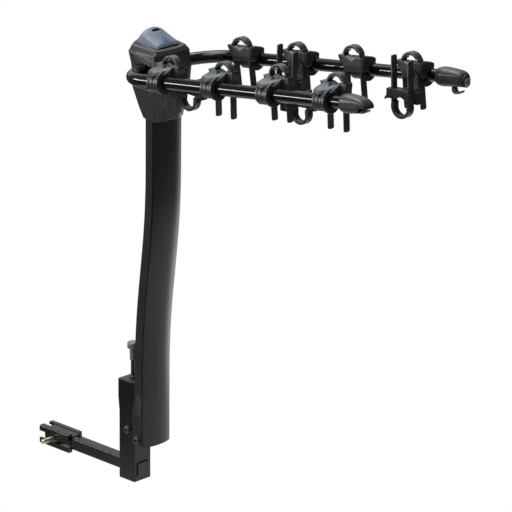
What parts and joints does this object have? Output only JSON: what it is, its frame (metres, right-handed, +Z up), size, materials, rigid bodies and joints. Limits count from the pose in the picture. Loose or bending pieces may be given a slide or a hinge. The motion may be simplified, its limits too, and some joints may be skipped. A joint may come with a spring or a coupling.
{
  "type": "hitch mounted bike rack",
  "caption": "Hanging bicycle carrier for a vehicle hitch: tongue, tilting curved mast, folding U arms with strapped cradles and anti-sway hangers.",
  "frame": {"origin": "where the hitch bolt's axis crosses the middle of the tongue", "axes": "+X away from the vehicle along the tongue, +Y to the right arm along the hitch bolt, +Z up"},
  "size_m": [1.2871, 0.3904, 1.278],
  "materials": {
    "gloss_black": "gloss",
    "satin_black": "satin",
    "yellow_zinc": "yellow zinc plate",
    "zinc": "zinc plate",
    "spring_steel": "oiled",
    "black_plastic": "fine grain",
    "grey_plastic": "semi gloss",
    "strap_rubber": "matt",
    "pad_rubber": "matt",
    "bush_nylon": "plain"
  },
  "bodies": {
    "base": {"hitch_adapter": "gloss_black", "hitch_tongue": "gloss_black", "tongue_end_plug": "black_plastic", "base_upright": "gloss_black", "base_top_cap": "black_plastic", "lock_guide_bush": "bush_nylon", "pivot_bracket": "satin_black", "pivot_bushes": "bush_nylon", "base_bolt": "zinc", "base_bolt_hardware": "zinc"},
    "hitch_bolt": {"hitch_bolt": "yellow_zinc"},
    "tilt_lock": {"lock_rod": "yellow_zinc", "lock_knob": "grey_plastic", "lock_spring": "spring_steel"},
    "mast": {"mast": "satin_black", "mast_latch_tongue": "satin_black", "pivot_bolt": "zinc", "pivot_bolt_hardware": "zinc", "head_bracket": "satin_black", "head_bracket_bolts": "zinc", "arm_bushes": "bush_nylon", "head_casing_rear": "black_plastic", "head_casing_front": "black_plastic", "casing_screws": "zinc", "lever_pin": "zinc", "lever_spring": "spring_steel"},
    "lever": {"release_lever": "grey_plastic", "latch_pawl": "zinc"},
    "arms": {"arm_tube": "gloss_black", "latch_sector": "zinc", "end_cap_left": "black_plastic", "end_cap_right": "black_plastic", "cable_hook": "grey_plastic", "cradle_pads_left": "pad_rubber", "cradle_pads_right": "pad_rubber", "cradle_left_1": "black_plastic", "cradle_left_2": "black_plastic", "cradle_left_3": "black_plastic", "cradle_left_4": "black_plastic", "cradle_right_1": "black_plastic", "cradle_right_2": "black_plastic", "cradle_right_3": "black_plastic", "cradle_right_4": "black_plastic"},
    "lock_core": {"lock_core": "zinc"},
    "strap_left_1": {"strap_left_1": "strap_rubber"},
    "antisway_frame_left_1": {"antisway_frame_left_1": "black_plastic"},
    "antisway_strap_left_1": {"antisway_strap_left_1": "strap_rubber"},
    "strap_left_2": {"strap_left_2": "strap_rubber"},
    "strap_left_3": {"strap_left_3": "strap_rubber"},
    "antisway_frame_left_3": {"antisway_frame_left_3": "black_plastic"},
    "antisway_strap_left_3": {"antisway_strap_left_3": "strap_rubber"},
    "strap_left_4": {"strap_left_4": "strap_rubber"},
    "strap_right_1": {"strap_right_1": "strap_rubber"},
    "strap_right_2": {"strap_right_2": "strap_rubber"},
    "antisway_frame_right_2": {"antisway_frame_right_2": "black_plastic"},
    "antisway_strap_right_2": {"antisway_strap_right_2": "strap_rubber"},
    "strap_right_3": {"strap_right_3": "strap_rubber"},
    "strap_right_4": {"strap_right_4": "strap_rubber"},
    "antisway_frame_right_4": {"antisway_frame_right_4": "black_plastic"},
    "antisway_strap_right_4": {"antisway_strap_right_4": "strap_rubber"}
  },
  "joints": [
    {"name": "hitch_bolt_slide", "type": "slide", "parent": "base", "child": "hitch_bolt", "axis": [0, 1, 0], "range_m": [0, 0.09]},
    {"name": "tilt_lock_pull", "type": "slide", "parent": "base", "child": "tilt_lock", "axis": [0, 0, 1], "range_m": [0, 0.0145], "stiffness_N_per_m": 900, "springref_m": -0.01, "deforming": ["lock_spring"]},
    {"name": "mast_tilt", "type": "hinge", "parent": "base", "child": "mast", "pos_m": [0.332, 0, 0.092], "axis": [0, 1, 0], "range_deg": [0, 50]},
    {"name": "lever_lift", "type": "hinge", "parent": "mast", "child": "lever", "pos_m": [0.402, 0, 1.138], "axis": [0, 1, 0], "range_deg": [0, 12], "stiffness_Nm_per_rad": 0.6, "springref_deg": -28.65},
    {"name": "arm_fold", "type": "hinge", "parent": "mast", "child": "arms", "pos_m": [0.387, 0, 1.095], "axis": [0, 1, 0], "range_deg": [0, 97]},
    {"name": "lock_core_turn", "type": "hinge", "parent": "arms", "child": "lock_core", "pos_m": [1.232, 0.16753, 1.19193], "axis": [0.9922, 0.011, 0.1245], "range_deg": [0, 90]},
    {"name": "strap_left_1_release", "type": "slide", "parent": "arms", "child": "strap_left_1", "axis": [0.0323, -0.0017, 0.9995], "range_m": [0, 0.05]},
    {"name": "antisway_frame_left_1_swing", "type": "hinge", "parent": "arms", "child": "antisway_frame_left_1", "pos_m": [0.56172, -0.11013, 1.13103], "axis": [0.0109, 0.9999, 0.0014], "range_deg": [-20, 20]},
    {"name": "antisway_strap_left_1_release", "type": "slide", "parent": "antisway_frame_left_1", "child": "antisway_strap_left_1", "axis": [-0.0671, 0.0021, -0.9977], "range_m": [0, 0.05]},
    {"name": "strap_left_2_release", "type": "slide", "parent": "arms", "child": "strap_left_2", "axis": [-0.0462, -0.0009, 0.9989], "range_m": [0, 0.05]},
    {"name": "strap_left_3_release", "type": "slide", "parent": "arms", "child": "strap_left_3", "axis": [-0.0985, -0.0003, 0.9951], "range_m": [0, 0.05]},
    {"name": "antisway_frame_left_3_swing", "type": "hinge", "parent": "arms", "child": "antisway_frame_left_3", "pos_m": [0.92944, -0.1142, 1.17715], "axis": [0.0109, 0.9999, 0.0014], "range_deg": [-20, 20]},
    {"name": "antisway_strap_left_3_release", "type": "slide", "parent": "antisway_frame_left_3", "child": "antisway_strap_left_3", "axis": [0.0462, 0.0009, -0.9989], "range_m": [0, 0.05]},
    {"name": "strap_left_4_release", "type": "slide", "parent": "arms", "child": "strap_left_4", "axis": [-0.055, -0.0008, 0.9985], "range_m": [0, 0.05]},
    {"name": "strap_right_1_release", "type": "slide", "parent": "arms", "child": "strap_right_1", "axis": [-0.1676, -0.0005, 0.9859], "range_m": [0, 0.05]},
    {"name": "strap_right_2_release", "type": "slide", "parent": "arms", "child": "strap_right_2", "axis": [-0.1245, 0, 0.9922], "range_m": [0, 0.05]},
    {"name": "antisway_frame_right_2_swing", "type": "hinge", "parent": "arms", "child": "antisway_frame_right_2", "pos_m": [0.74062, 0.11211, 1.15347], "axis": [-0.0109, 0.9999, -0.0014], "range_deg": [-20, 20]},
    {"name": "antisway_strap_right_2_release", "type": "slide", "parent": "antisway_frame_right_2", "child": "antisway_strap_right_2", "axis": [-0.0236, -0.0016, -0.9997], "range_m": [0, 0.05]},
    {"name": "strap_right_3_release", "type": "slide", "parent": "arms", "child": "strap_right_3", "axis": [-0.1245, 0, 0.9922], "range_m": [0, 0.05]},
    {"name": "strap_right_4_release", "type": "slide", "parent": "arms", "child": "strap_right_4", "axis": [-0.1245, 0, 0.9922], "range_m": [0, 0.05]},
    {"name": "antisway_frame_right_4_swing", "type": "hinge", "parent": "arms", "child": "antisway_frame_right_4", "pos_m": [1.10834, 0.11619, 1.1996], "axis": [-0.0109, 0.9999, -0.0014], "range_deg": [-20, 20]},
    {"name": "antisway_strap_right_4_release", "type": "slide", "parent": "antisway_frame_right_4", "child": "antisway_strap_right_4", "axis": [0.0462, -0.0009, -0.9989], "range_m": [0, 0.05]}
  ]
}
